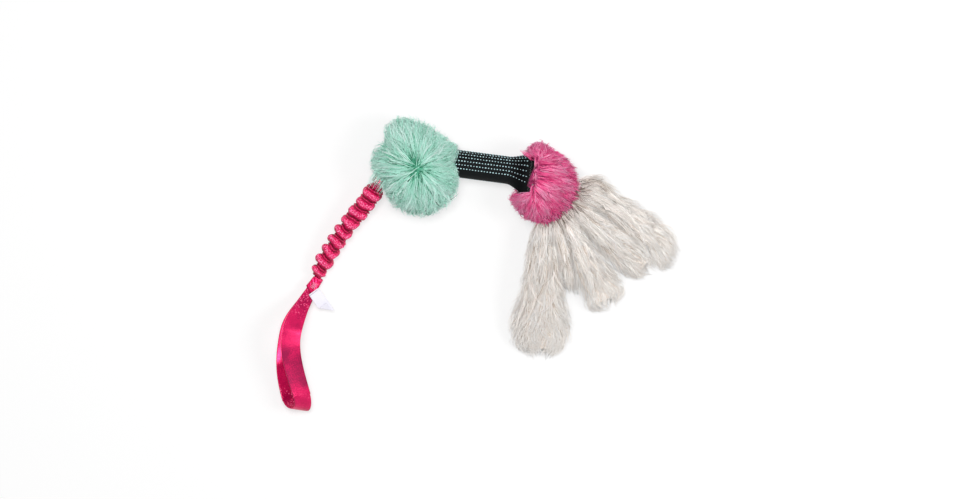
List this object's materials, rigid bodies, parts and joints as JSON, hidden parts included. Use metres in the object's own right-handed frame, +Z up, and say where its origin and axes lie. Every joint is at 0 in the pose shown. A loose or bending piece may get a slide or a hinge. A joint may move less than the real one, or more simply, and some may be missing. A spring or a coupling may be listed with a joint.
{
  "type": "bungee tug toy",
  "caption": "Dog tug toy: webbing hand loop, gathered bungee, mint faux-fur ball, woven bite tube, pink faux-fur ruff and a fan of sheepskin tails.",
  "frame": {"origin": "middle of the toy's bounding box, on the surface that it lies on", "axes": "+X from the hand loop towards the sheepskin tails, +Y from the hand loop towards the mint ball, +Z up from the surface"},
  "size_m": [0.4237, 0.3084, 0.07],
  "materials": {
    "pink_webbing": "satin crimson-pink polyester webbing",
    "pink_thread": "bonded thread",
    "elastic": "matt elastic cord",
    "mint_fur": "long soft pile",
    "pink_fur": "long soft pile",
    "fur_backing": "woven backing cloth",
    "black_weave": "tight weave with rows of pale dashes",
    "filling": "fibre filling",
    "black_thread": "bonded thread",
    "wool": "long sheepskin wool",
    "hide": "suede side of sheepskin",
    "label_cloth": "woven tape, blank"
  },
  "bodies": {
    "bite": {"bite_cover": "black_weave", "bite_filling": "filling", "bite_seam_left": "black_thread", "bite_seam_right": "black_thread", "spine_strap": "pink_webbing", "link_strap": "pink_webbing", "link_tack": "pink_thread", "mint_backing": "fur_backing", "mint_fur": "mint_fur", "ruff_backing": "fur_backing", "ruff_fur": "pink_fur"},
    "yoke": {"yoke": "pink_webbing"},
    "bungee": {"root_cuff": "pink_webbing", "bungee_sleeve": "pink_webbing", "bungee_core": "elastic"},
    "neck": {"end_cuff": "pink_webbing", "neck_tab": "pink_webbing", "neck_tack": "pink_thread"},
    "loop": {"hand_loop": "pink_webbing", "loop_tack": "pink_thread"},
    "label": {"label": "label_cloth"},
    "fan": {"fan_tab": "hide"},
    "tail_1": {"tail_1_hide": "hide", "tail_1_wool": "wool"},
    "tail_2": {"tail_2_hide": "hide", "tail_2_wool": "wool"},
    "tail_3": {"tail_3_hide": "hide", "tail_3_wool": "wool"},
    "tail_4": {"tail_4_hide": "hide", "tail_4_wool": "wool"},
    "tail_5": {"tail_5_hide": "hide", "tail_5_wool": "wool"}
  },
  "joints": [
    {"name": "bungee_swing", "type": "hinge", "parent": "bite", "child": "yoke", "pos_m": [-0.10393, 0.08786, 0.0227], "axis": [0, 0, 1], "range_deg": [-75, 30]},
    {"name": "bungee_lift", "type": "hinge", "parent": "yoke", "child": "bungee", "pos_m": [-0.10867, 0.08021, 0.0227], "axis": [-0.8499, 0.527, 0], "range_deg": [-45, 50]},
    {"name": "bungee_stretch", "type": "slide", "parent": "bungee", "child": "neck", "axis": [-0.5214, -0.841, -0.1444], "range_m": [0, 0.09], "stiffness_N_per_m": 400, "deforming": ["bungee_sleeve", "bungee_core"]},
    {"name": "loop_fold", "type": "hinge", "parent": "neck", "child": "loop", "pos_m": [-0.16769, -0.01499, 0.00636], "axis": [-0.848, 0.5299, 0], "range_deg": [-75, 65]},
    {"name": "label_flap", "type": "hinge", "parent": "loop", "child": "label", "pos_m": [-0.17129, -0.02902, 0.01393], "axis": [-0.8141, -0.5807, 0], "range_deg": [0, 140]},
    {"name": "fan_swing", "type": "hinge", "parent": "bite", "child": "fan", "pos_m": [0.07216, 0.08485, 0.0232], "axis": [0, 0, 1], "range_deg": [-18, 18]},
    {"name": "tail_1_lift", "type": "hinge", "parent": "fan", "child": "tail_1", "pos_m": [0.1057, 0.07486, 0.0232], "axis": [-0.2857, -0.9583, 0], "range_deg": [-25, 35]},
    {"name": "tail_2_lift", "type": "hinge", "parent": "fan", "child": "tail_2", "pos_m": [0.09917, 0.06259, 0.0232], "axis": [-0.6361, -0.7716, 0], "range_deg": [-25, 35]},
    {"name": "tail_3_lift", "type": "hinge", "parent": "fan", "child": "tail_3", "pos_m": [0.08886, 0.0541, 0.0232], "axis": [-0.8788, -0.4772, 0], "range_deg": [-35, 35]},
    {"name": "tail_4_lift", "type": "hinge", "parent": "fan", "child": "tail_4", "pos_m": [0.08087, 0.05095, 0.0232], "axis": [-0.9686, -0.2487, 0], "range_deg": [-35, 35]},
    {"name": "tail_5_lift", "type": "hinge", "parent": "fan", "child": "tail_5", "pos_m": [0.07106, 0.04987, 0.0232], "axis": [-0.9995, 0.0314, 0], "range_deg": [-35, 35]}
  ]
}
